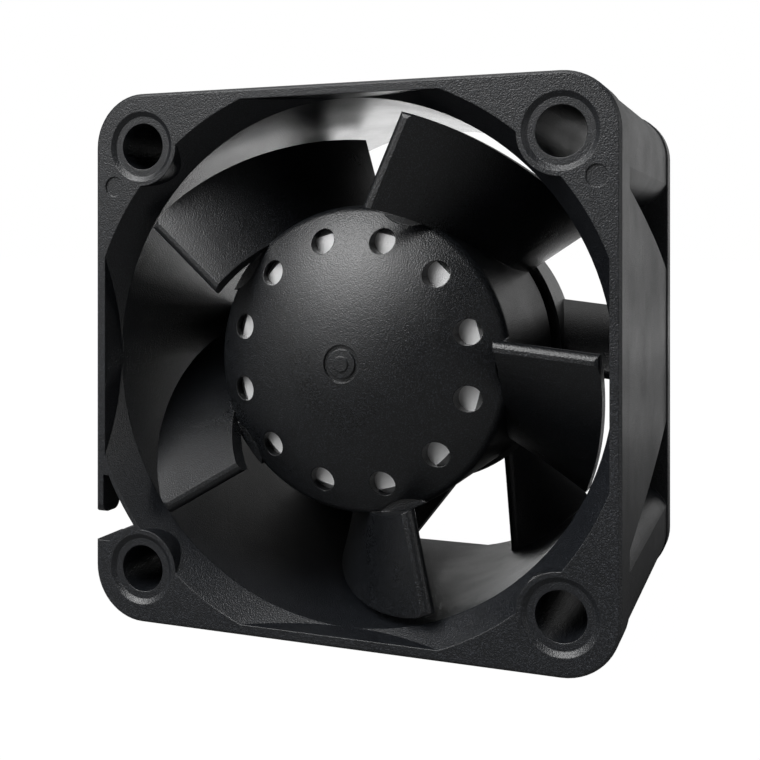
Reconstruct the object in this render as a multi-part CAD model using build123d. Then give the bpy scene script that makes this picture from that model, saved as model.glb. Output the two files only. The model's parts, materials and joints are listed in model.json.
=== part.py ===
from build123d import *
import os
from math import asin, atan, cos, degrees, radians, sin, sqrt

# An axial cooling fan, 40 x 40 x 28 mm, drawn in millimetres.
# X points right, Y from the inlet to the outlet, Z up, with the origin on the rotor's axis at mid-depth.
# A "depth" is measured from the inlet face towards the outlet face.

# Housing
frame_side = 40.0
frame_depth = 28.0
corner_radius = 4.0
front_flange = 3.5
rear_flange = 2.0
edge_break = 0.2
side_setback = 0.12
body_front_diameter = 47.0
body_rear_diameter = 41.8
duct_diameter = 38.4
duct_wall = 0.65
mouth_diameter = 41.3
mouth_edge = 0.8
inlet_depth = 2.3
outlet_depth = 1.5

# Mounting holes, one in each corner
hole_pitch = 32.0
hole_diameter = 3.5
hole_seat_diameter = 4.6
hole_rim_diameter = 5.3
hole_seat_depth = 0.25
hole_boss_diameter = 6.0
post_side = 8.0
post_round = 2.6

# Round witness marks of the mould on the inlet face
witness_diameter = 1.5
witness_depth = 0.12
witness_across = 18.4
witness_up = 13.0

# Lead outlet in the lower left corner of the inlet flange
lead_slot_from_axis = 9.1
lead_slot_length = 5.0
lead_slot_clearance = 0.3
tongue_wall = 0.65
tongue_length = 2.9
tongue_depth = 2.2
tongue_round = 0.7

# Motor base and the guide vanes that carry it in the outlet
base_overhang = 0.4
base_taper = 0.5
base_length = 7.2
base_wall = 1.0
base_floor = 1.2
base_setback = 0.3
base_hub_gap = 2.1
vane_thickness = 1.2
vane_setback = 0.4
vane_camber = 0.9
# Each vane's direction, the offsets of its front edge at the base and at the duct, and of its rear edge
vanes = ((-6.5, -0.25, -0.25, 4.4, 4.4), (-66.5, 2.8, 0.3, 4.9, 6.2), (173.5, -0.25, -0.25, 4.4, 4.4),
         (121.0, -0.25, -0.25, 4.4, 4.4))
tray_angle = -128.0
tray_inner_edge = 2.2
tray_outer_edge = 8.9
tray_thickness = 1.7
tray_groove_width = 4.2
tray_groove_depth = 0.9
window_angle = -146.0
window_width = 3.6
window_length = 3.0

# Impeller
tip_gap = 0.75
hub_wall = 1.4
crown_setback = 0.9
crown_radius = 20.0
crown_thickness = 3.2
shoulder_radius = 1.0
vent_count = 12
vent_circle_diameter = 18.2
vent_diameter = 1.9
gate_diameter = 2.7
gate_groove = 0.3
gate_depth = 0.2
gate_pip_diameter = 1.1
gate_pip_height = 0.12

# Blades
blade_count = 5
blade_setback = 0.8
blade_root_lead = 6.0
blade_tip_lead = 1.6
blade_trail = -38.6
blade_root_inlet_angle = 54.0
blade_tip_inlet_angle = 62.0
blade_thickness = 1.2
blade_trail_share = 0.55
blade_tip_round = 0.4
blade_root_clearance = 0.2
scoop_radius = 3.04
scoop_reach = 0.9
scoop_depth = 4.3

# Rotor
yoke_wall = 0.7
yoke_corner = 0.5
yoke_rim_setback = 0.5
magnet_wall = 1.15
magnet_rim_setback = 0.5
magnet_front_gap = 1.7
bush_diameter = 5.0
bush_front = 1.6
bush_rear = 1.5
shaft_diameter = 3.0
bush_end_wall = 0.6
shaft_chamfer = 0.2

# Ball bearings and what holds them
bearing_diameter = 7.0
bearing_width = 3.0
ring_wall = 0.52
ball_diameter = 1.0
ball_count = 7
race_clearance = 0.02
cage_thickness = 0.3
shield_thickness = 0.15
shield_setback = 0.15
shield_clearance = 0.1
tube_wall = 0.7
tube_shoulder = 0.4
spring_wire = 0.3
spring_clearance = 0.15
spring_length = 1.8
spring_turns = 4
washer_thickness = 0.3
clip_thickness = 0.4
clip_diameter = 5.0
clip_groove_depth = 0.35
clip_opening = 1.8
washer_diameter = 4.0
cage_width = 1.5
shaft_stub = 0.5
shaft_end_gap = 0.5

# Stator
air_gap = 0.3
core_diameter = 15.9
core_setback = 1.2
core_back_wall = 1.0
pole_count = 4
pole_width = 2.4
pole_shoe_wall = 0.9
pole_slot_width = 1.6
insulator_wall = 0.5
coil_wall = 1.5
coil_clearance = 0.15
coil_corner = 0.7
insulator_post_circle = 11.2
insulator_post_diameter = 1.5
pin_diameter = 0.5
pin_hole_diameter = 0.7
pin_engagement = 3.0

# Circuit board and its parts
board_thickness = 0.8
board_setback = 1.5
board_clearance = 0.25
board_bore_clearance = 0.3
pin_tail = 0.6
ic_length = 4.9
ic_width = 3.9
ic_height = 1.4
ic_angle = -60.0
leg_count = 4
leg_width = 0.4
leg_reach = 0.4
leg_height = 0.5
chip_length = 1.6
chip_width = 0.8
chip_height = 0.6
sensor_width = 3.0
sensor_thickness = 1.4
sensor_length = 3.0
sensor_gap = 0.6
sensor_leg = 0.4
sensor_leg_pitch = 1.0
lead_hole_diameter = 1.0
lead_hole_pitch = 1.8
diode_length = 3.6
diode_diameter = 1.5

# Rubber plug in the middle of the motor base
plug_diameter = 7.2
plug_flange_diameter = 9.2
plug_flange = 0.4

# Radii that follow, from the shaft outwards
tube_radius = bearing_diameter / 2 + tube_wall
magnet_inner = core_diameter / 2 + air_gap
yoke_inner = magnet_inner + magnet_wall
yoke_outer = yoke_inner + yoke_wall
hub_radius = yoke_outer + hub_wall
tip_radius = duct_diameter / 2 - tip_gap
base_radius = hub_radius + base_overhang
board_radius = base_radius - base_taper - base_wall - board_clearance
board_bore = tube_radius + board_bore_clearance
barrel_radius = duct_diameter / 2 + duct_wall
hole_spots = GridLocations(hole_pitch, hole_pitch, 2, 2)

# Depths that follow, from the inlet face inwards
yoke_front = crown_setback + crown_thickness
bush_end = yoke_front + yoke_wall + bush_rear
front_bearing = bush_end + spring_length
tube_front = front_bearing - tube_shoulder
core_front = tube_front + coil_wall + insulator_wall
magnet_front = yoke_front + yoke_wall + magnet_front_gap
# Depths that follow, from the outlet face inwards
base_rear = frame_depth - base_setback
floor_front = base_rear - base_floor
base_front = base_rear - base_length
hub_rear = base_front - base_hub_gap
yoke_rear = hub_rear - yoke_rim_setback
magnet_rear = yoke_rear - magnet_rim_setback
core_rear = magnet_rear - core_setback
board_front = base_front + board_setback
board_rear = board_front + board_thickness
shaft_end = floor_front - shaft_end_gap
clip_front = shaft_end - shaft_stub - clip_thickness
rear_bearing = clip_front - washer_thickness - bearing_width


def face_plane(depth):
    """A plane across the axis, seen from the inlet: its own x is right and its y is up."""
    return Plane(origin=(0, depth - frame_depth / 2, 0), x_dir=(1, 0, 0), z_dir=(0, -1, 0))


def slab(sketch, front, rear):
    """A flat outline, or several, given thickness from one depth to another."""
    return extrude(face_plane(rear) * (Sketch() + sketch), amount=rear - front)


def disc(diameter, front, rear):
    return slab(Circle(diameter / 2), front, rear)


def ring(outer, inner, front, rear):
    return slab(Circle(outer / 2) - Circle(inner / 2), front, rear)


def turned(*points):
    """A solid of revolution from a closed profile of radius and depth points."""
    profile = make_face(Polyline(*points, close=True))
    return Pos(0, -frame_depth / 2, 0) * revolve(profile, Axis.Y)


def around(angle):
    """A turn about the axis, counter-clockwise as seen from the inlet."""
    return Rot(0, -angle, 0)


def turns(count, start=0.0):
    return [around(start + 360 * i / count) for i in range(count)]


def mouth(face_depth, duct_depth):
    """The cone that opens the duct at one face, cut flat beside the four sides."""
    face, duct = mouth_diameter / 2, duct_diameter / 2
    cone = turned((0, face_depth), (face, face_depth), (duct, duct_depth), (0, duct_depth))
    flat = frame_side - 2 * mouth_edge
    return cone & slab(Rectangle(flat, flat), 0, frame_depth)


def housing_blank():
    """Both flanges, the tapered body between them, cut flat at the four sides, and the corner posts."""
    outline = RectangleRounded(frame_side, frame_side, corner_radius)
    front = slab(outline, 0, front_flange)
    front = chamfer(front.edges().group_by(Axis.Y)[0], edge_break)
    rear = slab(outline, frame_depth - rear_flange, frame_depth)
    rear = chamfer(rear.edges().group_by(Axis.Y)[-1], edge_break)
    near, far = front_flange, frame_depth - rear_flange
    cone = turned((0, near), (body_front_diameter / 2, near), (body_rear_diameter / 2, far), (0, far))
    posts = slab(hole_spots * RectangleRounded(post_side, post_side, post_round), near, far)
    inside = frame_side - 2 * side_setback
    sides = slab(RectangleRounded(inside, inside, corner_radius - side_setback), near, far)
    return front + rear + ((cone + posts) & sides) - lead_channel()


def duct_void():
    """The straight duct with its inlet and outlet cones, less the bosses round the holes."""
    void = disc(duct_diameter, 0, frame_depth)
    void += mouth(0, inlet_depth)
    void += mouth(frame_depth, frame_depth - outlet_depth)
    return void - slab(hole_spots * Circle(hole_boss_diameter / 2), 0, frame_depth)


def hole_void():
    """A through hole in each corner, with a shallow chamfered seat on both faces."""
    bore, seat, rim = hole_diameter / 2, hole_seat_diameter / 2, hole_rim_diameter / 2
    low = frame_depth - hole_seat_depth
    void = turned((0, 0), (rim, 0), (seat, hole_seat_depth), (bore, hole_seat_depth),
                  (bore, low), (seat, low), (rim, frame_depth), (0, frame_depth))
    return [Pos(spot.position.X, 0, spot.position.Y) * void for spot in hole_spots]


def base_cavity():
    return disc(2 * (base_radius - base_taper - base_wall), base_front, floor_front)


def plug_void():
    return (disc(plug_diameter, floor_front, base_rear)
            + disc(plug_flange_diameter, base_rear - plug_flange, base_rear))


def motor_base():
    """The round cup in the outlet that holds the circuit board and the bearing tube."""
    foot = base_radius - base_taper
    cup = turned((0, base_front), (base_radius, base_front), (foot, base_rear), (0, base_rear))
    collar = 2 * (tube_radius + base_wall)
    cup -= base_cavity()
    return cup + ring(collar, 2 * tube_radius, board_rear + board_clearance, floor_front) - plug_void()


def vane_section(reach, base_front_edge, duct_front_edge, base_rear_edge, duct_rear_edge):
    """A vane's curved slice at one distance along it, from the front edge to the rear edge."""
    share = (reach - base_radius) / (duct_diameter / 2 - base_radius)
    front_edge = base_front_edge + (duct_front_edge - base_front_edge) * share
    rear_edge = base_rear_edge + (duct_rear_edge - base_rear_edge) * share
    front = base_front + vane_setback + vane_thickness / 2
    rear = base_rear - vane_setback - vane_thickness / 2
    middle = ((front_edge + rear_edge) / 2 + vane_camber, (front + rear) / 2)
    arc = ThreePointArc((front_edge, front), middle, (rear_edge, rear))
    # On this plane x is the offset to the side of the vane's own direction and y is the depth.
    across = Plane(origin=(reach, -frame_depth / 2, 0), x_dir=(0, 0, 1), z_dir=(-1, 0, 0))
    return across * SlotArc(arc, vane_thickness)


def vane(angle, *edges):
    """A guide vane from the motor base to the duct, which turns the air straight."""
    start = base_radius - 3 * base_wall
    return around(angle) * loft([vane_section(start, *edges), vane_section(frame_side / 2, *edges)], ruled=True)


def lead_tray():
    """The broad flat tray that takes the leads to the lower left corner, with a groove behind."""
    front = base_rear - tray_thickness
    outline = Rectangle(frame_side, tray_outer_edge + tray_inner_edge)
    plate = slab(Pos(frame_side / 2, (tray_outer_edge - tray_inner_edge) / 2) * outline, front, base_rear)
    groove = slab(Pos(frame_side / 2, 0) * Rectangle(frame_side, tray_groove_width),
                  base_rear - tray_groove_depth, base_rear)
    return around(tray_angle) * (plate - groove)


def lead_window():
    """The opening through the barrel that lets the leads out between two flanges."""
    rear = frame_depth - rear_flange
    hole = slab(Pos(barrel_radius, 0) * Rectangle(4 * duct_wall, window_width), rear - window_length, rear)
    return around(window_angle) * hole


def lead_space(inner_radius, front, rear):
    """The room for the leads beside the duct, clear of the boss round the hole."""
    side = frame_side / 2
    reach = side - hole_pitch / 2
    spot = Pos(-side + reach / 2, -lead_slot_from_axis - lead_slot_length / 2)
    boss = Pos(-hole_pitch / 2, -hole_pitch / 2) * Circle(hole_boss_diameter / 2 + lead_slot_clearance)
    outline = spot * Rectangle(reach, lead_slot_length) - Circle(inner_radius) - boss
    return slab(outline, front, rear)


def lead_channel():
    """The open channel along the body that takes the leads from the outlet end to the inlet flange."""
    return lead_space(barrel_radius, front_flange, frame_depth - rear_flange)


def lead_slot():
    """The opening in the inlet flange where the leads come out, with its hook at the outer side."""
    side = frame_side / 2
    top = -lead_slot_from_axis
    cut = lead_space(mouth_diameter / 2 + lead_slot_clearance, 0, front_flange)
    hook = slab(Pos(-side + tongue_wall / 2, top - tongue_length / 2) * Rectangle(tongue_wall, tongue_length),
                0, tongue_depth)
    ends = hook.edges().filter_by(Axis.X).group_by(Axis.Z)[0]
    return cut - fillet(ends, tongue_round)


def housing():
    """The whole moulded frame: body, motor base, vanes, lead tray, holes and marks."""
    blank = housing_blank()
    arms = [vane(*numbers) & blank for numbers in vanes]
    arms.append(lead_tray() & blank)
    body = blank - duct_void()
    for arm in arms:
        body += arm - base_cavity() - plug_void()
    body += motor_base()
    body -= hole_void()
    body -= lead_slot()
    body -= lead_window()
    marks = Locations((-witness_across, witness_up), (witness_across, witness_up))
    return body - slab(marks * Circle(witness_diameter / 2), 0, witness_depth)


def side_curve(lead, radius, inlet_angle, depth):
    """Position along the arc and slope of a blade's front side, at one depth behind its nose."""
    length = hub_rear - blade_setback
    arc = radians(lead - blade_trail) * radius
    outlet_angle = 2 * degrees(atan(arc / length)) - inlet_angle
    first, last = sin(radians(inlet_angle)), sin(radians(outlet_angle))
    here = asin(first + (last - first) * depth / length)
    bend = length / (first - last)
    return -bend * (cos(here) - cos(radians(inlet_angle))), here


def blade_sides(lead, radius, inlet_angle, depth):
    """The two sides of a blade at one radius and depth, as points across the axis."""
    front, slope = side_curve(lead, radius, inlet_angle, depth)
    share = depth / (hub_rear - blade_setback)
    thickness = blade_thickness * (1 - (1 - blade_trail_share) * share)
    back = front + thickness / cos(slope)
    # The nose is a half round that starts from the front side.
    nose = blade_thickness / 2
    angle = radians(inlet_angle)
    if depth < nose * (1 + sin(angle)):
        centre = nose * (1 - sin(angle)) / cos(angle)
        back = centre + sqrt(nose**2 - (nose - depth)**2)
    turns_to = [radians(lead) + side / radius for side in (front, back)]
    return [(radius * cos(turn), radius * sin(turn)) for turn in turns_to]


def blade_section(depth):
    """A slice of the blade across the axis, running on past the hub and the tip."""
    root = blade_sides(blade_root_lead, hub_radius, blade_root_inlet_angle, depth)
    tip = blade_sides(blade_tip_lead, tip_radius, blade_tip_inlet_angle, depth)
    corners = []
    for (x0, y0), (x1, y1) in zip(root, tip):
        corners.append((x0 - (x1 - x0) * 0.1, y0 - (y1 - y0) * 0.1))
        corners.append((x1 + (x1 - x0) * 0.1, y1 + (y1 - y0) * 0.1))
    outline = Polyline(corners[0], corners[1], corners[3], corners[2], close=True)
    return face_plane(blade_setback + depth) * make_face(outline)


def blade():
    """One blade, trimmed by the tip cylinder and by the clearance inside its root."""
    length = hub_rear - blade_setback
    nose_end = blade_thickness / 2 * (1 + sin(radians(blade_tip_inlet_angle)))
    nose_steps = [nose_end * step for step in (0.01, 0.08, 0.25, 0.55, 1.0)]
    body_steps = [nose_end + (length - nose_end) * step / 6 for step in range(7)]
    solid = loft([blade_section(depth) for depth in nose_steps])
    solid += loft([blade_section(depth) for depth in body_steps])
    inner, outer, corner = hub_radius - blade_root_clearance, tip_radius, blade_tip_round
    shell = turned((inner, 0), (outer, 0), (outer, hub_rear), (inner, hub_rear))
    shell -= turned((outer - corner, 0), (outer, 0), (outer, blade_setback + corner),
                    (outer - corner * 0.3, blade_setback + corner * 0.3), (outer - corner, blade_setback))
    return solid & shell


def hub():
    """The domed cup, with flats behind each blade's root and twelve holes in the crown."""
    body = disc(2 * hub_radius, 0, hub_rear)
    dome = Pos(0, crown_setback + crown_radius - frame_depth / 2, 0) * Sphere(crown_radius)
    body &= dome + disc(3 * hub_radius, crown_setback + crown_radius, frame_depth)
    shoulder = body.edges().filter_by(GeomType.CIRCLE).group_by(Axis.Y)[0]
    body = fillet(shoulder, shoulder_radius)
    scoop = Pos(hub_radius - scoop_reach + scoop_radius, 0) * Circle(scoop_radius)
    land = disc(2 * hub_radius, scoop_depth, scoop_depth + 2 * shoulder_radius)
    for turn in turns(blade_count):
        body -= turn * slab(scoop, 0, scoop_depth)
        body += (turn * slab(scoop, scoop_depth, scoop_depth + 2 * shoulder_radius)) & land
    body -= ring(gate_diameter, gate_diameter - 2 * gate_groove, 0, crown_setback + gate_depth)
    body += disc(gate_pip_diameter, crown_setback - gate_pip_height, crown_setback + gate_depth)
    for turn in turns(vent_count, 180 / vent_count):
        vent = slab(Pos(vent_circle_diameter / 2, 0) * Circle(vent_diameter / 2), 0, yoke_front + yoke_corner)
        body -= turn * vent
    return body


def yoke_shape(radius, front, rear, corner):
    """A cup's outside: a cylinder with its front corner bevelled."""
    solid = disc(2 * radius, front, rear)
    return chamfer(solid.edges().group_by(Axis.Y)[0], corner)


def impeller():
    body = hub()
    for turn in turns(blade_count):
        body += turn * blade()
    body -= yoke_shape(yoke_outer, yoke_front, hub_rear, yoke_corner)
    return body - disc(bush_diameter, yoke_front - bush_front, yoke_front)


def rotor_yoke():
    """The pressed steel cup inside the hub."""
    cup = yoke_shape(yoke_outer, yoke_front, yoke_rear, yoke_corner)
    inside = yoke_shape(yoke_inner, yoke_front + yoke_wall, yoke_rear, yoke_corner * yoke_inner / yoke_outer)
    return cup - inside - disc(bush_diameter, yoke_front, yoke_front + yoke_wall)


def magnet_ring():
    return ring(2 * yoke_inner, 2 * magnet_inner, magnet_front, magnet_rear)


def shaft_bush():
    front = yoke_front - bush_front
    bush = disc(bush_diameter, front, bush_end)
    return bush - disc(shaft_diameter, front + bush_end_wall, bush_end)


def shaft():
    """The steel shaft, chamfered at both ends, with the groove for its clip."""
    front = yoke_front - bush_front + bush_end_wall
    rod = disc(shaft_diameter, front, shaft_end)
    rod = chamfer(rod.edges().filter_by(GeomType.CIRCLE), shaft_chamfer)
    groove = shaft_diameter - 2 * clip_groove_depth
    return rod - ring(2 * shaft_diameter, groove, clip_front, clip_front + clip_thickness)


def preload_spring():
    """A short coil spring with ground ends, between the bush and the front inner ring."""
    radius = shaft_diameter / 2 + spring_clearance + spring_wire / 2
    pitch = spring_length / spring_turns
    path = Helix(pitch, spring_length, radius)
    start = Plane(origin=path @ 0, z_dir=path % 0)
    coil = sweep(start * RegularPolygon(spring_wire / 2, 6), path=path)
    coil = Pos(0, bush_end - frame_depth / 2, 0) * Rot(-90, 0, 0) * coil
    return coil & disc(bush_diameter, bush_end, front_bearing)


def race(front, inner, outer, groove_radius):
    """One bearing ring with its ball groove."""
    body = ring(2 * outer, 2 * inner, front, front + bearing_width)
    middle = front + bearing_width / 2 - frame_depth / 2
    groove = Torus(groove_radius, ball_diameter / 2 + race_clearance, rotation=(90, 0, 0))
    return body - Pos(0, middle, 0) * groove


ball_circle = (bearing_diameter + shaft_diameter) / 4


def outer_race(front):
    return race(front, bearing_diameter / 2 - ring_wall, bearing_diameter / 2, ball_circle)


def inner_race(front):
    return race(front, shaft_diameter / 2, shaft_diameter / 2 + ring_wall, ball_circle)


def shields(front):
    """Two thin washers held by the outer ring, one at each side of the balls."""
    outer = bearing_diameter - 2 * ring_wall
    inner = shaft_diameter + 2 * ring_wall + 2 * shield_clearance
    near = front + shield_setback
    far = front + bearing_width - shield_setback - shield_thickness
    return Compound([ring(outer, inner, near, near + shield_thickness),
                     ring(outer, inner, far, far + shield_thickness)])


def ball_spots(front):
    middle = front + bearing_width / 2 - frame_depth / 2
    return [turn * Pos(ball_circle, middle, 0) for turn in turns(ball_count)]


def balls(front):
    return Compound([spot * Sphere(ball_diameter / 2) for spot in ball_spots(front)])


def cage(front):
    """The ring that keeps the balls apart, with one pocket for each."""
    middle = front + bearing_width / 2
    outer, inner = 2 * ball_circle + cage_thickness, 2 * ball_circle - cage_thickness
    body = ring(outer, inner, middle - cage_width / 2, middle + cage_width / 2)
    pocket = Rot(0, 90, 0) * Cylinder(ball_diameter / 2 + race_clearance, 3 * cage_thickness)
    for spot in ball_spots(front):
        body -= spot * pocket
    return body


def bearing_tube():
    """The brass tube that holds both bearings, with a shoulder between them."""
    front, rear = tube_front, floor_front
    bore, middle = bearing_diameter, bearing_diameter - 2 * tube_shoulder
    tube = disc(2 * tube_radius, front, rear)
    tube -= disc(bore, front, front_bearing + bearing_width)
    tube -= disc(middle, front_bearing + bearing_width, rear_bearing)
    return tube - disc(bore, rear_bearing, rear)


def shaft_washer():
    return ring(washer_diameter, shaft_diameter, clip_front - washer_thickness, clip_front)


def retaining_ring():
    """The open clip in the shaft's groove."""
    groove = shaft_diameter - 2 * clip_groove_depth
    clip = Circle(clip_diameter / 2) - Circle(groove / 2)
    clip -= Pos(0, -clip_diameter / 2) * Rectangle(clip_opening, clip_diameter)
    return slab(clip, clip_front, clip_front + clip_thickness)


def pole_outline(width, shoe_outer, shoe_inner, back_outer):
    """Four poles with their shoes on a round back, before the bore is cut."""
    outline = Circle(back_outer)
    for i in range(pole_count):
        turn = Rot(0, 0, 360 / pole_count * i)
        outline += turn * Pos(shoe_outer / 2, 0) * Rectangle(shoe_outer - 0.4, width)
    shoes = Circle(shoe_outer) - Circle(shoe_inner)
    for i in range(pole_count // 2):
        turn = Rot(0, 0, 180 / pole_count + 360 / pole_count * i)
        shoes -= turn * Rectangle(3 * shoe_outer, pole_slot_width)
    return (outline & Circle(shoe_outer)) + shoes - Circle(tube_radius)


def core_outline():
    outer = core_diameter / 2
    return pole_outline(pole_width, outer, outer - pole_shoe_wall, tube_radius + core_back_wall)


def stator_core():
    return slab(core_outline(), core_front, core_rear)


def insulator_posts():
    spots = [Rot(0, 0, 45 + 90 * i) * Pos(insulator_post_circle / 2, 0) for i in range(pole_count)]
    return [spot.position for spot in spots]


def coil_span():
    """The inner and outer radius of the space for the coils."""
    return tube_radius + core_back_wall + coil_clearance, core_diameter / 2 - pole_shoe_wall - coil_clearance


def front_insulator():
    outer = coil_span()[1]
    plate = slab(core_outline(), core_front - insulator_wall, core_front)
    rim = core_outline() - Circle(outer)
    return plate + slab(rim, core_front - insulator_wall - coil_wall, core_front)


def rear_insulator():
    """The rear end plate, with a rim and the four posts that stand on the circuit board."""
    outer = coil_span()[1]
    plate_rear = core_rear + insulator_wall
    body = slab(core_outline(), core_rear, plate_rear)
    body += slab(core_outline() - Circle(outer), core_rear, plate_rear + coil_wall)
    for spot in insulator_posts():
        post = Pos(spot.X, spot.Y) * Circle(insulator_post_diameter / 2)
        ear = Circle(insulator_post_circle / 2) - Circle(tube_radius)
        strip = Rot(0, 0, degrees(atan(spot.Y / spot.X)) + (180 if spot.X < 0 else 0)) * Pos(
            insulator_post_circle / 4, 0) * Rectangle(insulator_post_circle / 2, insulator_post_diameter)
        body += slab(ear & strip, core_rear, plate_rear)
        body += slab(post, core_rear, board_front)
    for spot in insulator_posts()[1:]:
        body -= slab(Pos(spot.X, spot.Y) * Circle(pin_diameter / 2), board_front - pin_engagement, board_front)
    return body


def windings():
    """Four coils, each wound round one pole over the insulators."""
    inner, outer = coil_span()
    tall = core_rear - core_front + 2 * insulator_wall
    wide = pole_width + 2 * coil_clearance
    hole = RectangleRounded(wide, tall, coil_clearance)
    loop = RectangleRounded(wide + 2 * coil_wall, tall + 2 * coil_wall, coil_corner) - hole
    middle = (core_front + core_rear) / 2 - frame_depth / 2
    seat = Plane(origin=(inner, middle, 0), x_dir=(0, 0, 1), z_dir=(1, 0, 0))
    coil = extrude(seat * loop, amount=outer - inner) & disc(2 * outer, 0, frame_depth)
    return Compound([turn * coil for turn in turns(pole_count)])


def terminal_pins():
    front, rear = board_front - pin_engagement, board_rear + pin_tail
    pins = [slab(Pos(spot.X, spot.Y) * Circle(pin_diameter / 2), front, rear) for spot in insulator_posts()[1:]]
    return Compound(pins)


def circuit_board():
    """The round board in the motor base, with holes for the pins, the sensor and the leads."""
    outline = Circle(board_radius) - Circle(board_bore)
    for spot in insulator_posts()[1:]:
        outline -= Pos(spot.X, spot.Y) * Circle(pin_hole_diameter / 2)
    for across in (-sensor_leg_pitch, 0, sensor_leg_pitch):
        outline -= Pos(sensor_radius, across) * Circle(pin_hole_diameter / 2)
    for across in (-lead_hole_pitch, 0, lead_hole_pitch):
        outline -= Rot(0, 0, tray_angle) * Pos(chip_radius, across) * Circle(lead_hole_diameter / 2)
    return slab(outline, board_front, board_rear)


sensor_radius = (magnet_inner + yoke_inner) / 2 - 0.2


def hall_sensor():
    """The sensor standing behind the magnet ring on its three legs."""
    front = yoke_rear + sensor_gap - 0.4
    body = slab(Pos(sensor_radius, 0) * Rectangle(sensor_thickness, sensor_width), front, front + sensor_length)
    for across in (-sensor_leg_pitch, 0, sensor_leg_pitch):
        leg = Pos(sensor_radius, across) * Rectangle(sensor_leg, sensor_leg)
        body += slab(leg, front + sensor_length, board_rear + pin_tail)
    return body


def on_board(angle, radius, length, width, height):
    """A block standing on the rear of the board, its length along the circle."""
    block = slab(Pos(radius, 0) * Rectangle(width, length), board_rear, board_rear + height)
    return around(angle) * block


def driver_chip():
    """The motor driver with its eight legs, which stand on the board beside its body."""
    body = on_board(0, chip_radius, ic_length, ic_width, ic_height)
    pitch = ic_length / leg_count
    for i in range(leg_count):
        up = (i - (leg_count - 1) / 2) * pitch
        body += slab(Pos(chip_radius, up) * Rectangle(ic_width + 2 * leg_reach, leg_width),
                     board_rear, board_rear + leg_height)
    return around(ic_angle) * body


chip_radius = (tube_radius + base_wall + board_radius) / 2


def chip_components():
    """The small parts on the rear of the board: capacitors, resistors and the diode."""
    parts = [on_board(angle, chip_radius, chip_length, chip_width, chip_height)
             for angle in (20, 45, 70, 95, 200, 225)]
    parts.append(on_board(140, chip_radius, diode_length, diode_diameter, diode_diameter))
    return Compound(parts)


def rear_cap():
    """The rubber plug that closes the motor base behind the shaft."""
    return plug_void()


pieces = {
    "housing": housing(),
    "bearing_tube": bearing_tube(),
    "impeller": impeller(),
    "rotor_yoke": rotor_yoke(),
    "magnet_ring": magnet_ring(),
    "shaft_bush": shaft_bush(),
    "shaft": shaft(),
    "preload_spring": preload_spring(),
    "front_bearing_outer_ring": outer_race(front_bearing),
    "front_bearing_inner_ring": inner_race(front_bearing),
    "front_bearing_shields": shields(front_bearing),
    "front_bearing_balls": balls(front_bearing),
    "front_bearing_cage": cage(front_bearing),
    "rear_bearing_outer_ring": outer_race(rear_bearing),
    "rear_bearing_inner_ring": inner_race(rear_bearing),
    "rear_bearing_shields": shields(rear_bearing),
    "rear_bearing_balls": balls(rear_bearing),
    "rear_bearing_cage": cage(rear_bearing),
    "shaft_washer": shaft_washer(),
    "retaining_ring": retaining_ring(),
    "stator_core": stator_core(),
    "front_insulator": front_insulator(),
    "rear_insulator": rear_insulator(),
    "windings": windings(),
    "terminal_pins": terminal_pins(),
    "circuit_board": circuit_board(),
    "hall_sensor": hall_sensor(),
    "driver_chip": driver_chip(),
    "chip_components": chip_components(),
    "rear_cap": rear_cap(),
}

os.makedirs("parts", exist_ok=True)
for name, piece in pieces.items():
    export_step(piece, "parts/" + name + ".step")
    print(name, piece.is_valid, round(piece.volume, 2), len(piece.solids()))
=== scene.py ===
# %% [markdown]
# # A small axial fan in black plastic
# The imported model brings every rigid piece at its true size: the moulded frame, the impeller and the motor inside it.
# What is left for Blender is how they look, so this lesson is mostly about materials and light.
# All sizes are in metres, in the model's own frame: the rotor's axis is Y, the inlet face looks along -Y and Z is up.

# %% The fixed model
import json
import math

import bmesh
import bpy
from mathutils import Matrix, Vector


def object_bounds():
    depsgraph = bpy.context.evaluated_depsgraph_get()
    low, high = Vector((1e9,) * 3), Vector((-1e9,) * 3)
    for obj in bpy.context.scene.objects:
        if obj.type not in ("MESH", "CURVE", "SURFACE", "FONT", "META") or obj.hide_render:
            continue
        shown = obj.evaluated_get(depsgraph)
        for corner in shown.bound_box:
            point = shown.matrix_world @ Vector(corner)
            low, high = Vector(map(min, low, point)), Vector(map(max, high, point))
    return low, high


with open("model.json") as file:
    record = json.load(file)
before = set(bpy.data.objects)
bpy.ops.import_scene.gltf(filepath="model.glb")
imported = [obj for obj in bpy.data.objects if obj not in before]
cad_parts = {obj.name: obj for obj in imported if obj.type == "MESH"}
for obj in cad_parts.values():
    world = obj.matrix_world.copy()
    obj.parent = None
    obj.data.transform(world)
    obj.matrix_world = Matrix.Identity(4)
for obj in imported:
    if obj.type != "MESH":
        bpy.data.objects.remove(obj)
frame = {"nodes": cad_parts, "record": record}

cad_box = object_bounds()
nodes = frame["nodes"]

# %% [markdown]
# ## Millimetres, degrees and colours
# Sizes read more easily in millimetres, so one small function turns them to metres.
# A colour is written as the hex value that a painter would pick on screen, and one function turns it to the linear
# numbers that the shaders work in.

# %% Small helpers
MM = 0.001


def mm(*values):
    """Millimetres to metres, one number or a vector."""
    return values[0] * MM if len(values) == 1 else Vector(values) * MM


def linear(hex_colour):
    """An sRGB hex colour as the linear red, green, blue and alpha of a shader socket."""
    channels = [int(hex_colour[i:i + 2], 16) / 255 for i in (1, 3, 5)]
    return [c / 12.92 if c <= 0.04045 else ((c + 0.055) / 1.055) ** 2.4 for c in channels] + [1.0]


print("mid grey", [round(c, 3) for c in linear("#808080")])

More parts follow.
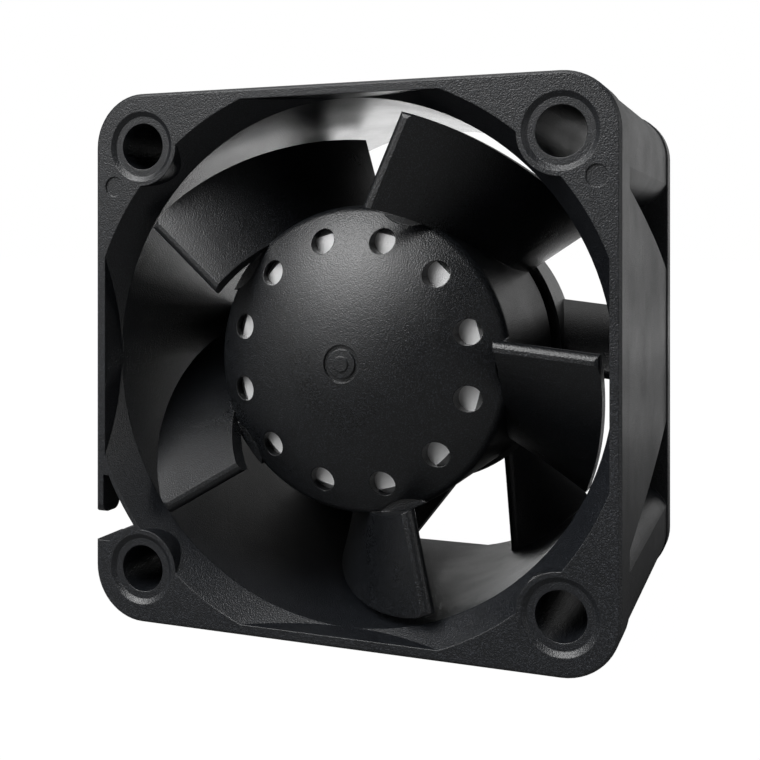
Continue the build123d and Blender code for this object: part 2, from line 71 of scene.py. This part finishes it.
# %% [markdown]
# ## The camera
# The photograph was taken a little to the right of the rotor's axis, from about nine centimetres away, which is why
# the near side of the frame looks so much taller than the far side. A close camera is not the same as a long one
# zoomed out, so its distance is set first and the lens follows. The vertical shift keeps the posts upright, as it does
# on a view camera.

# %% Camera
camera_data = bpy.data.cameras.new("camera")
camera = bpy.data.objects.new("camera", camera_data)
bpy.context.scene.collection.objects.link(camera)
camera.location = mm(31.0, -87.2, 8.1)
camera_yaw = math.radians(20.69)
camera.rotation_euler = (math.radians(90), 0, camera_yaw)
camera_data.sensor_width = 36.0
camera_data.lens = 53.24
camera_data.shift_y = -0.170
camera_data.clip_start = 0.005
bpy.context.scene.camera = camera
print("camera at", tuple(round(c, 4) for c in camera.location))

# %% [markdown]
# ## One helper for every node
# A shader is a graph, and building one in code is mostly adding a node, setting its numbers and linking its inputs.
# One function does all three, so each material below reads as a list of its nodes.

# %% Material helpers


def add(tree, kind, settings=None, **inputs):
    """Add a node of a kind, with its settings, and set or link its inputs by name, or by number as i0, i1 and so on."""
    node = tree.nodes.new("ShaderNode" + kind)
    for name, value in (settings or {}).items():
        setattr(node, name, value)
    for name, value in inputs.items():
        numbered = name[0] == "i" and name[1:].isdigit()
        socket = node.inputs[int(name[1:]) if numbered else name.replace("_", " ")]
        if isinstance(value, bpy.types.NodeSocket):
            tree.links.new(value, socket)
        else:
            socket.default_value = value
    return node


def new_material(name):
    """An empty material with its output node, ready to be filled."""
    material = bpy.data.materials.new(name)
    material.use_nodes = True
    material.node_tree.nodes.clear()
    tree = material.node_tree
    return material, tree, tree.nodes.new("ShaderNodeOutputMaterial")


print("helpers ready")

# %% [markdown]
# ## The studio
# Black plastic shows almost nothing of its own colour: what the eye reads is the room mirrored in its skin. So the
# room comes first, and each light is a soft round patch of the world around a direction, with its brightness beside
# it. The brightest is a window high on the front left, which makes the long highlight on the crown. The others are
# weak cards and walls that rim the duct, the blades and the frame's side. The camera itself sees plain white, and a
# mirrored ray that leaves towards the backdrop sees it at about a third of white.

# %% World
world = bpy.data.worlds.new("studio")
bpy.context.scene.world = world
world.use_nodes = True
room = world.node_tree
room.nodes.clear()
direction = add(room, "TexCoord").outputs["Generated"]


def lobe(aim, edge):
    """A soft patch of light around a direction, from 0 at the cosine of its edge to 1 in its middle."""
    facing = add(room, "VectorMath", {"operation": "DOT_PRODUCT"}, i0=direction, i1=Vector(aim).normalized())
    return add(room, "MapRange", {"interpolation_type": "SMOOTHSTEP"}, Value=facing.outputs["Value"],
               From_Min=edge).outputs["Result"]


WHITE = (1.0, 1.0, 1.0, 1.0)
WINDOW = (-0.35, -0.58, 0.73)
BACKDROP_MIRRORED = 0.3
ROOM_GLOOM = 0.012
backdrop = lobe((-0.15, 1.0, 0.0), 0.86)
patches = [
    (lobe(WINDOW, 0.92), 8.0),                    # the window's bright middle
    (lobe(WINDOW, 0.80), 3.4),                    # and its soft surround
    (lobe((-0.55, -0.82, 0.0), 0.80), 1.0),       # card in front on the left
    (lobe((-0.85, -0.20, -0.45), 0.50), 0.35),    # card low on the left
    (lobe((0.97, -0.10, 0.15), 0.80), 1.4),       # strip on the right
    (lobe((-0.05, 0.30, 0.95), 0.70), 0.9),       # skylight
    (lobe((0.20, 0.98, 0.05), 0.92), 0.5),        # pale wall behind on the right
    (backdrop, 0.15),
]
lit = ROOM_GLOOM
for patch, brightness in patches:
    lit = add(room, "Math", {"operation": "MULTIPLY_ADD"}, i0=patch, i1=brightness, i2=lit).outputs[0]
rays = add(room, "LightPath")
mirrored = add(room, "Math", {"operation": "MULTIPLY"}, i0=rays.outputs["Is Glossy Ray"], i1=backdrop)
mirrored = add(room, "Math", {"operation": "MULTIPLY"}, i0=mirrored.outputs[0], i1=BACKDROP_MIRRORED)
white = add(room, "Math", {"operation": "MAXIMUM"}, i0=rays.outputs["Is Camera Ray"], i1=mirrored.outputs[0])
white = add(room, "Math", {"operation": "MAXIMUM"}, i0=white.outputs[0], i1=rays.outputs["Is Transmission Ray"])
strength = add(room, "Mix", {"data_type": "FLOAT"}, Factor=white.outputs[0], A=lit, B=1.0)
sky = add(room, "Background", Color=WHITE, Strength=strength.outputs[0])
room.links.new(sky.outputs[0], room.nodes.new("ShaderNodeOutputWorld").inputs["Surface"])
print("world nodes", len(room.nodes), "lights", len(patches))

# %% [markdown]
# ## The floor
# The fan stands on a pale table. The camera sees it nearly white, so that it melts into the backdrop, and it keeps a
# little of its own shading so that the object's soft shadow stays on it. Behind the fan three round light panels lie on
# the table. They show only as reflections, in the top of the duct and along the side, where the camera looks at a flat
# angle.

# %% Floor
FLOOR_HALF_SIZE = 3.0
GLOW_SHARE = 0.93
GLOW_STRENGTH = 1.075
PANEL_CORE = 0.4
PANELS = ((-40, 110, 80, 4.0), (-90, 260, 140, 3.0), (60, 320, 160, 0.9))  # centre X, Y and radius in mm, brightness
floor_height = cad_box[0][2]
floor_mesh = bpy.data.meshes.new("floor")
plane = bmesh.new()
bmesh.ops.create_grid(plane, x_segments=1, y_segments=1, size=FLOOR_HALF_SIZE,
                      matrix=Matrix.Translation((0, 0, floor_height)))
plane.to_mesh(floor_mesh)
plane.free()
floor = bpy.data.objects.new("floor", floor_mesh)
bpy.context.scene.collection.objects.link(floor)

floor_material, tree, output = new_material("pale_table")
matt = add(tree, "BsdfDiffuse", Color=linear("#6E6E6E"))
glow = add(tree, "Emission", Color=WHITE, Strength=GLOW_STRENGTH)
rays = add(tree, "LightPath")
share = add(tree, "Math", {"operation": "MULTIPLY"}, i0=rays.outputs["Is Camera Ray"], i1=GLOW_SHARE)
shown = add(tree, "MixShader", i0=share.outputs[0], i1=matt.outputs[0], i2=glow.outputs[0])
place = add(tree, "TexCoord").outputs["Object"]
panel_light = 0.0
for centre_x, centre_y, radius, brightness in PANELS:
    centre = Vector((mm(centre_x), mm(centre_y), floor_height))
    spot = add(tree, "VectorMath", {"operation": "DISTANCE"}, i0=place, i1=centre)
    panel = add(tree, "MapRange", {"interpolation_type": "SMOOTHSTEP"}, Value=spot.outputs["Value"],
                From_Min=mm(radius), From_Max=mm(radius * PANEL_CORE))
    panel_light = add(tree, "Math", {"operation": "MULTIPLY_ADD"}, i0=panel.outputs[0], i1=brightness,
                      i2=panel_light).outputs[0]
seen = add(tree, "Math", {"operation": "MULTIPLY"}, i0=panel_light, i1=rays.outputs["Is Glossy Ray"])
panels = add(tree, "Emission", Color=WHITE, Strength=seen.outputs[0])
table = add(tree, "AddShader", i0=shown.outputs[0], i1=panels.outputs[0])
tree.links.new(table.outputs[0], output.inputs["Surface"])
floor_mesh.materials.append(floor_material)
print("floor at", round(floor_height / MM, 2), "mm")

# %% [markdown]
# ## The black mouldings
# The frame and the impeller are glass-filled polyester, moulded in steel tools. The tool for the frame was
# spark-eroded, which leaves a fine, even pitting, and the tool for the impeller was polished, so its skin is smoother.
# Glass fibres just under the skin give both a faint cloudiness. Three patterns at three sizes do that: clouds some
# millimetres wide in the roughness, a grain of a tenth of a millimetre in the bump and in the colour, and sparse pale
# specks, which are painted glints put into the colour to stand for the skin's fine sparkle. No moulding has a truly
# sharp edge, so a bevel shader rounds each one by a tenth of a millimetre.

# %% Moulded black polyester
POLYESTER_IOR = 1.57
FIBRE_COLOUR = "#2E3136"
# The pale speck colour is a painted glint, standing for the skin's fine sparkle.
GLINT_SPECK_COLOUR = "#6E6E70"
CLOUD_MM = 6.0
SPECK_SPACING_MM = 0.9
CLOUD_SHINE = 0.05    # how far the clouds move the roughness either way
GRAIN_SHINE = 0.10    # how much the grain adds to it


def moulded_polyester(name, skin, cloud, rough, grain_mm, grain_height_mm, glint_share, edge_mm):
    """Black glass-filled polyester from a tool with a given grain."""
    material, tree, output = new_material(name)
    place = add(tree, "TexCoord").outputs["Object"]
    clouds = add(tree, "TexNoise", Vector=place, Scale=1 / mm(CLOUD_MM), Detail=3.0, Roughness=0.6)
    grain = add(tree, "TexNoise", Vector=place, Scale=1 / mm(grain_mm), Detail=1.0, Roughness=0.5)
    fibres = add(tree, "MapRange", Value=grain.outputs["Fac"], From_Min=0.50, From_Max=0.80)
    # Small pale dots at the Voronoi cells are painted into the colour: painted glints for the skin's sparkle.
    glint_cells = add(tree, "TexVoronoi", Vector=place, Scale=1 / mm(SPECK_SPACING_MM))
    painted_glints = add(tree, "MapRange", Value=glint_cells.outputs["Distance"], From_Min=0.03, From_Max=0.09, To_Min=glint_share,
               To_Max=0.0)
    colour = add(tree, "Mix", {"data_type": "RGBA"}, i0=clouds.outputs["Fac"], i6=linear(skin), i7=linear(cloud))
    for share, tint in ((fibres, FIBRE_COLOUR), (painted_glints, GLINT_SPECK_COLOUR)):
        colour = add(tree, "Mix", {"data_type": "RGBA"}, i0=share.outputs[0], i6=colour.outputs[2], i7=linear(tint))
    shine = add(tree, "MapRange", Value=clouds.outputs["Fac"], From_Min=0.3, From_Max=0.7,
                To_Min=rough - CLOUD_SHINE, To_Max=rough + CLOUD_SHINE)
    shine = add(tree, "Math", {"operation": "MULTIPLY_ADD"}, i0=grain.outputs["Fac"], i1=GRAIN_SHINE,
                i2=shine.outputs[0])
    edges = add(tree, "Bevel", {"samples": 6}, Radius=mm(edge_mm))
    relief = add(tree, "Bump", Strength=1.0, Distance=mm(grain_height_mm), Height=grain.outputs["Fac"],
                 Normal=edges.outputs[0])
    skin_shader = add(tree, "BsdfPrincipled", Base_Color=colour.outputs[2], Roughness=shine.outputs[0],
                      IOR=POLYESTER_IOR, Normal=relief.outputs[0])
    tree.links.new(skin_shader.outputs[0], output.inputs["Surface"])
    return material


finishes = {
    "frame_plastic": moulded_polyester("spark_eroded_black_polyester", "#090B0E", "#0E1014", rough=0.30, grain_mm=0.09,
                                       grain_height_mm=0.034, glint_share=0.05, edge_mm=0.10),
    "impeller_plastic": moulded_polyester("polished_black_polyester", "#070809", "#0B0C0E", rough=0.27, grain_mm=0.09,
                                          grain_height_mm=0.032, glint_share=0.06, edge_mm=0.10),
}
print("mouldings", sorted(finishes))

# %% [markdown]
# ## Metals
# Steel and brass reflect the room in their own colour, so they are fully metallic and keep the default IOR. What sets
# one apart from another is how rough it is and which way its marks run: a turned part has rings, a pressed cup has the
# fine streaks of rolled sheet, and a ground shaft is almost clean.

# %% Metals
STAIN_MM = 2.5
MARK_SHINE = 0.16    # how far the marks move the roughness, from lowest to highest


def worked_metal(name, colour, tarnish, rough, mark_mm, stretch, mark_height_mm):
    """A bare metal whose tool marks are noise stretched along one or two axes."""
    material, tree, output = new_material(name)
    place = add(tree, "TexCoord").outputs["Object"]
    stretched = add(tree, "Mapping", Vector=place, Scale=stretch)
    marks = add(tree, "TexNoise", Vector=stretched.outputs[0], Scale=1 / mm(mark_mm), Detail=3.0, Roughness=0.6)
    stains = add(tree, "TexNoise", Vector=place, Scale=1 / mm(STAIN_MM), Detail=4.0, Roughness=0.65)
    tone = add(tree, "MapRange", Value=stains.outputs["Fac"], From_Min=0.45, From_Max=0.75)
    base = add(tree, "Mix", {"data_type": "RGBA"}, i0=tone.outputs[0], i6=linear(colour), i7=linear(tarnish))
    shine = add(tree, "Math", {"operation": "MULTIPLY_ADD"}, i0=marks.outputs["Fac"], i1=MARK_SHINE,
                i2=rough - MARK_SHINE / 2)
    relief = add(tree, "Bump", Strength=0.4, Distance=mm(mark_height_mm), Height=marks.outputs["Fac"])
    surface = add(tree, "BsdfPrincipled", Base_Color=base.outputs[2], Metallic=1.0, Roughness=shine.outputs[0],
                  Normal=relief.outputs[0])
    tree.links.new(surface.outputs[0], output.inputs["Surface"])
    return material


EVEN = (1.0, 1.0, 1.0)
ROLLED = (1.0, 1.0, 0.25)
GROUND_RINGS = (0.3, 1.0, 0.3)
TURNED_RINGS = (0.2, 1.0, 0.2)
SHEET_STACK = (0.02, 1.0, 0.02)
METALS = {  # name, colour, tarnish, roughness, width of a mark in mm, its stretch, its height in mm
    "yoke_steel": ("zinc_coated_steel_sheet", "#F6F6F6", "#E8E9EA", 0.50, 0.25, ROLLED, 0.004),
    "shaft_steel": ("ground_steel", "#C9CACC", "#B4B5B8", 0.16, 0.06, GROUND_RINGS, 0.001),
    "bearing_steel": ("lapped_bearing_steel", "#CFD0D2", "#BDBEC1", 0.14, 0.08, GROUND_RINGS, 0.001),
    "ball_steel": ("polished_bearing_steel", "#D6D7D9", "#C9CACC", 0.07, 0.10, EVEN, 0.0005),
    "shield_steel": ("pressed_stainless_sheet", "#C4C5C6", "#ABACAE", 0.28, 0.12, EVEN, 0.002),
    "spring_steel": ("drawn_spring_wire", "#B6B6B4", "#94938F", 0.30, 0.08, EVEN, 0.002),
    "clip_steel": ("phosphated_spring_steel", "#4A4845", "#3A3733", 0.50, 0.10, EVEN, 0.003),
    "tube_brass": ("turned_brass_tube", "#D9B66A", "#B98F48", 0.26, 0.10, TURNED_RINGS, 0.003),
    "bush_brass": ("turned_brass_bush", "#D6B267", "#B58B45", 0.28, 0.10, TURNED_RINGS, 0.003),
    "core_laminations": ("silicon_steel_sheets", "#8E9196", "#6F7278", 0.42, 0.5, SHEET_STACK, 0.030),
    "pin_tin": ("tinned_pins", "#CACBC6", "#AFB0AA", 0.30, 0.10, EVEN, 0.002),
}
for slot, recipe in METALS.items():
    finishes[slot] = worked_metal(*recipe)
print("metals", len(METALS))

# %% [markdown]
# ## Plastics, rubber, ceramic and the board
# The small parts inside are not metal and not black polyester: natural nylon, dark ferrite, green solder resist over
# glass cloth, epoxy, ceramic and rubber. They share one recipe, a base colour that drifts a little, a grain of a
# stated size, and a clear coat where the real one is varnished.

# %% Small-part finishes
SMALL_PART_IOR = 1.5
DRIFT_MM = 1.8
SMALL_GRAIN_SHINE = 0.14    # how far the grain moves the roughness, from lowest to highest


def small_part(name, colour, drift, rough, grain_mm, grain_height_mm, coat=0.0):
    """A non-metal with a drifting colour and a fine grain, clear-coated where coat is above 0."""
    material, tree, output = new_material(name)
    place = add(tree, "TexCoord").outputs["Object"]
    drifts = add(tree, "TexNoise", Vector=place, Scale=1 / mm(DRIFT_MM), Detail=3.0, Roughness=0.6)
    grain = add(tree, "TexNoise", Vector=place, Scale=1 / mm(grain_mm), Detail=2.0, Roughness=0.5)
    base = add(tree, "Mix", {"data_type": "RGBA"}, i0=drifts.outputs["Fac"], i6=linear(colour), i7=linear(drift))
    shine = add(tree, "Math", {"operation": "MULTIPLY_ADD"}, i0=grain.outputs["Fac"], i1=SMALL_GRAIN_SHINE,
                i2=rough - SMALL_GRAIN_SHINE / 2)
    relief = add(tree, "Bump", Strength=0.5, Distance=mm(grain_height_mm), Height=grain.outputs["Fac"])
    surface = add(tree, "BsdfPrincipled", Base_Color=base.outputs[2], Roughness=shine.outputs[0], IOR=SMALL_PART_IOR,
                  Coat_Weight=coat, Coat_Roughness=0.12, Normal=relief.outputs[0])
    tree.links.new(surface.outputs[0], output.inputs["Surface"])
    return material


BOARD_VARNISH = 0.6
SMALL_PARTS = {  # name, colour, drift, roughness, width of the grain in mm, its height in mm, and any coat
    "magnet": ("bonded_ferrite", "#2B2928", "#383431", 0.62, 0.12, 0.010),
    "cage_nylon": ("moulded_cage_nylon", "#D8CFB4", "#CBC1A3", 0.45, 0.15, 0.004),
    "washer_nylon": ("white_nylon_washer", "#E6E2D6", "#D8D3C4", 0.45, 0.15, 0.004),
    "insulator_nylon": ("natural_nylon_insulator", "#DCD6C4", "#CCC4AD", 0.42, 0.20, 0.005),
    "board_green": ("solder_resist_on_glass_cloth", "#1F5B33", "#2B6E3F", 0.30, 0.45, 0.006, BOARD_VARNISH),
    "chip_black": ("moulded_epoxy", "#1C1C1D", "#262627", 0.48, 0.10, 0.006),
    "chip_ceramic": ("fired_ceramic", "#A08562", "#8B7355", 0.40, 0.10, 0.003),
    "cap_rubber": ("soft_black_rubber", "#151516", "#1D1D1D", 0.62, 0.25, 0.008),
}
for slot, recipe in SMALL_PARTS.items():
    finishes[slot] = small_part(*recipe)
print("finishes so far", len(finishes))

# %% [markdown]
# ## Enamelled wire
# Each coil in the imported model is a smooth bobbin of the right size. Real coils show their turns, so a wave runs along
# each pole with one ridge for each turn of 0.2 mm wire, and the enamel gives it a thin amber coat over copper.

# %% Wound copper
WIRE_MM = 0.2
ACROSS_THE_AXIS = (1.0, 0.0, 1.0)
material, tree, output = new_material("enamelled_copper_wire")
place = add(tree, "TexCoord").outputs["Object"]
radial = add(tree, "VectorMath", {"operation": "MULTIPLY"}, i0=place, i1=ACROSS_THE_AXIS)
reach = add(tree, "VectorMath", {"operation": "LENGTH"}, i0=radial.outputs[0])
turn = add(tree, "Math", {"operation": "MULTIPLY"}, i0=reach.outputs["Value"], i1=2 * math.pi / mm(WIRE_MM))
ridge = add(tree, "Math", {"operation": "SINE"}, i0=turn.outputs[0])
drifts = add(tree, "TexNoise", Vector=place, Scale=1 / mm(1.2), Detail=2.0)
base = add(tree, "Mix", {"data_type": "RGBA"}, i0=drifts.outputs["Fac"], i6=linear("#B4652B"), i7=linear("#8E4519"))
relief = add(tree, "Bump", Strength=0.8, Distance=mm(0.05), Height=ridge.outputs[0])
surface = add(tree, "BsdfPrincipled", Base_Color=base.outputs[2], Metallic=0.75, Roughness=0.32, Coat_Weight=0.7,
              Coat_Roughness=0.10, Normal=relief.outputs[0])
tree.links.new(surface.outputs[0], output.inputs["Surface"])
finishes["enamelled_wire"] = material
print("wire done")

# %% [markdown]
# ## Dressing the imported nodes
# The record says which finish each node takes, so the materials go on by that list, and a node without a finish would
# stop the script here and not in the picture.

# %% Materials onto nodes
slot_of = {part["node"]: part["material_slot"] for part in frame["record"]["subparts"]}
for name, node in sorted(nodes.items()):
    node.data.materials.clear()
    node.data.materials.append(finishes[slot_of[name]])
print("dressed", len(nodes), "nodes in", len(set(slot_of.values())), "finishes")

# %% [markdown]
# ## Plain colours
# A view transform bends every colour, so it is set to Standard: a hex value then comes out about as it was written.

# %% View transform
bpy.context.scene.view_settings.view_transform = "Standard"
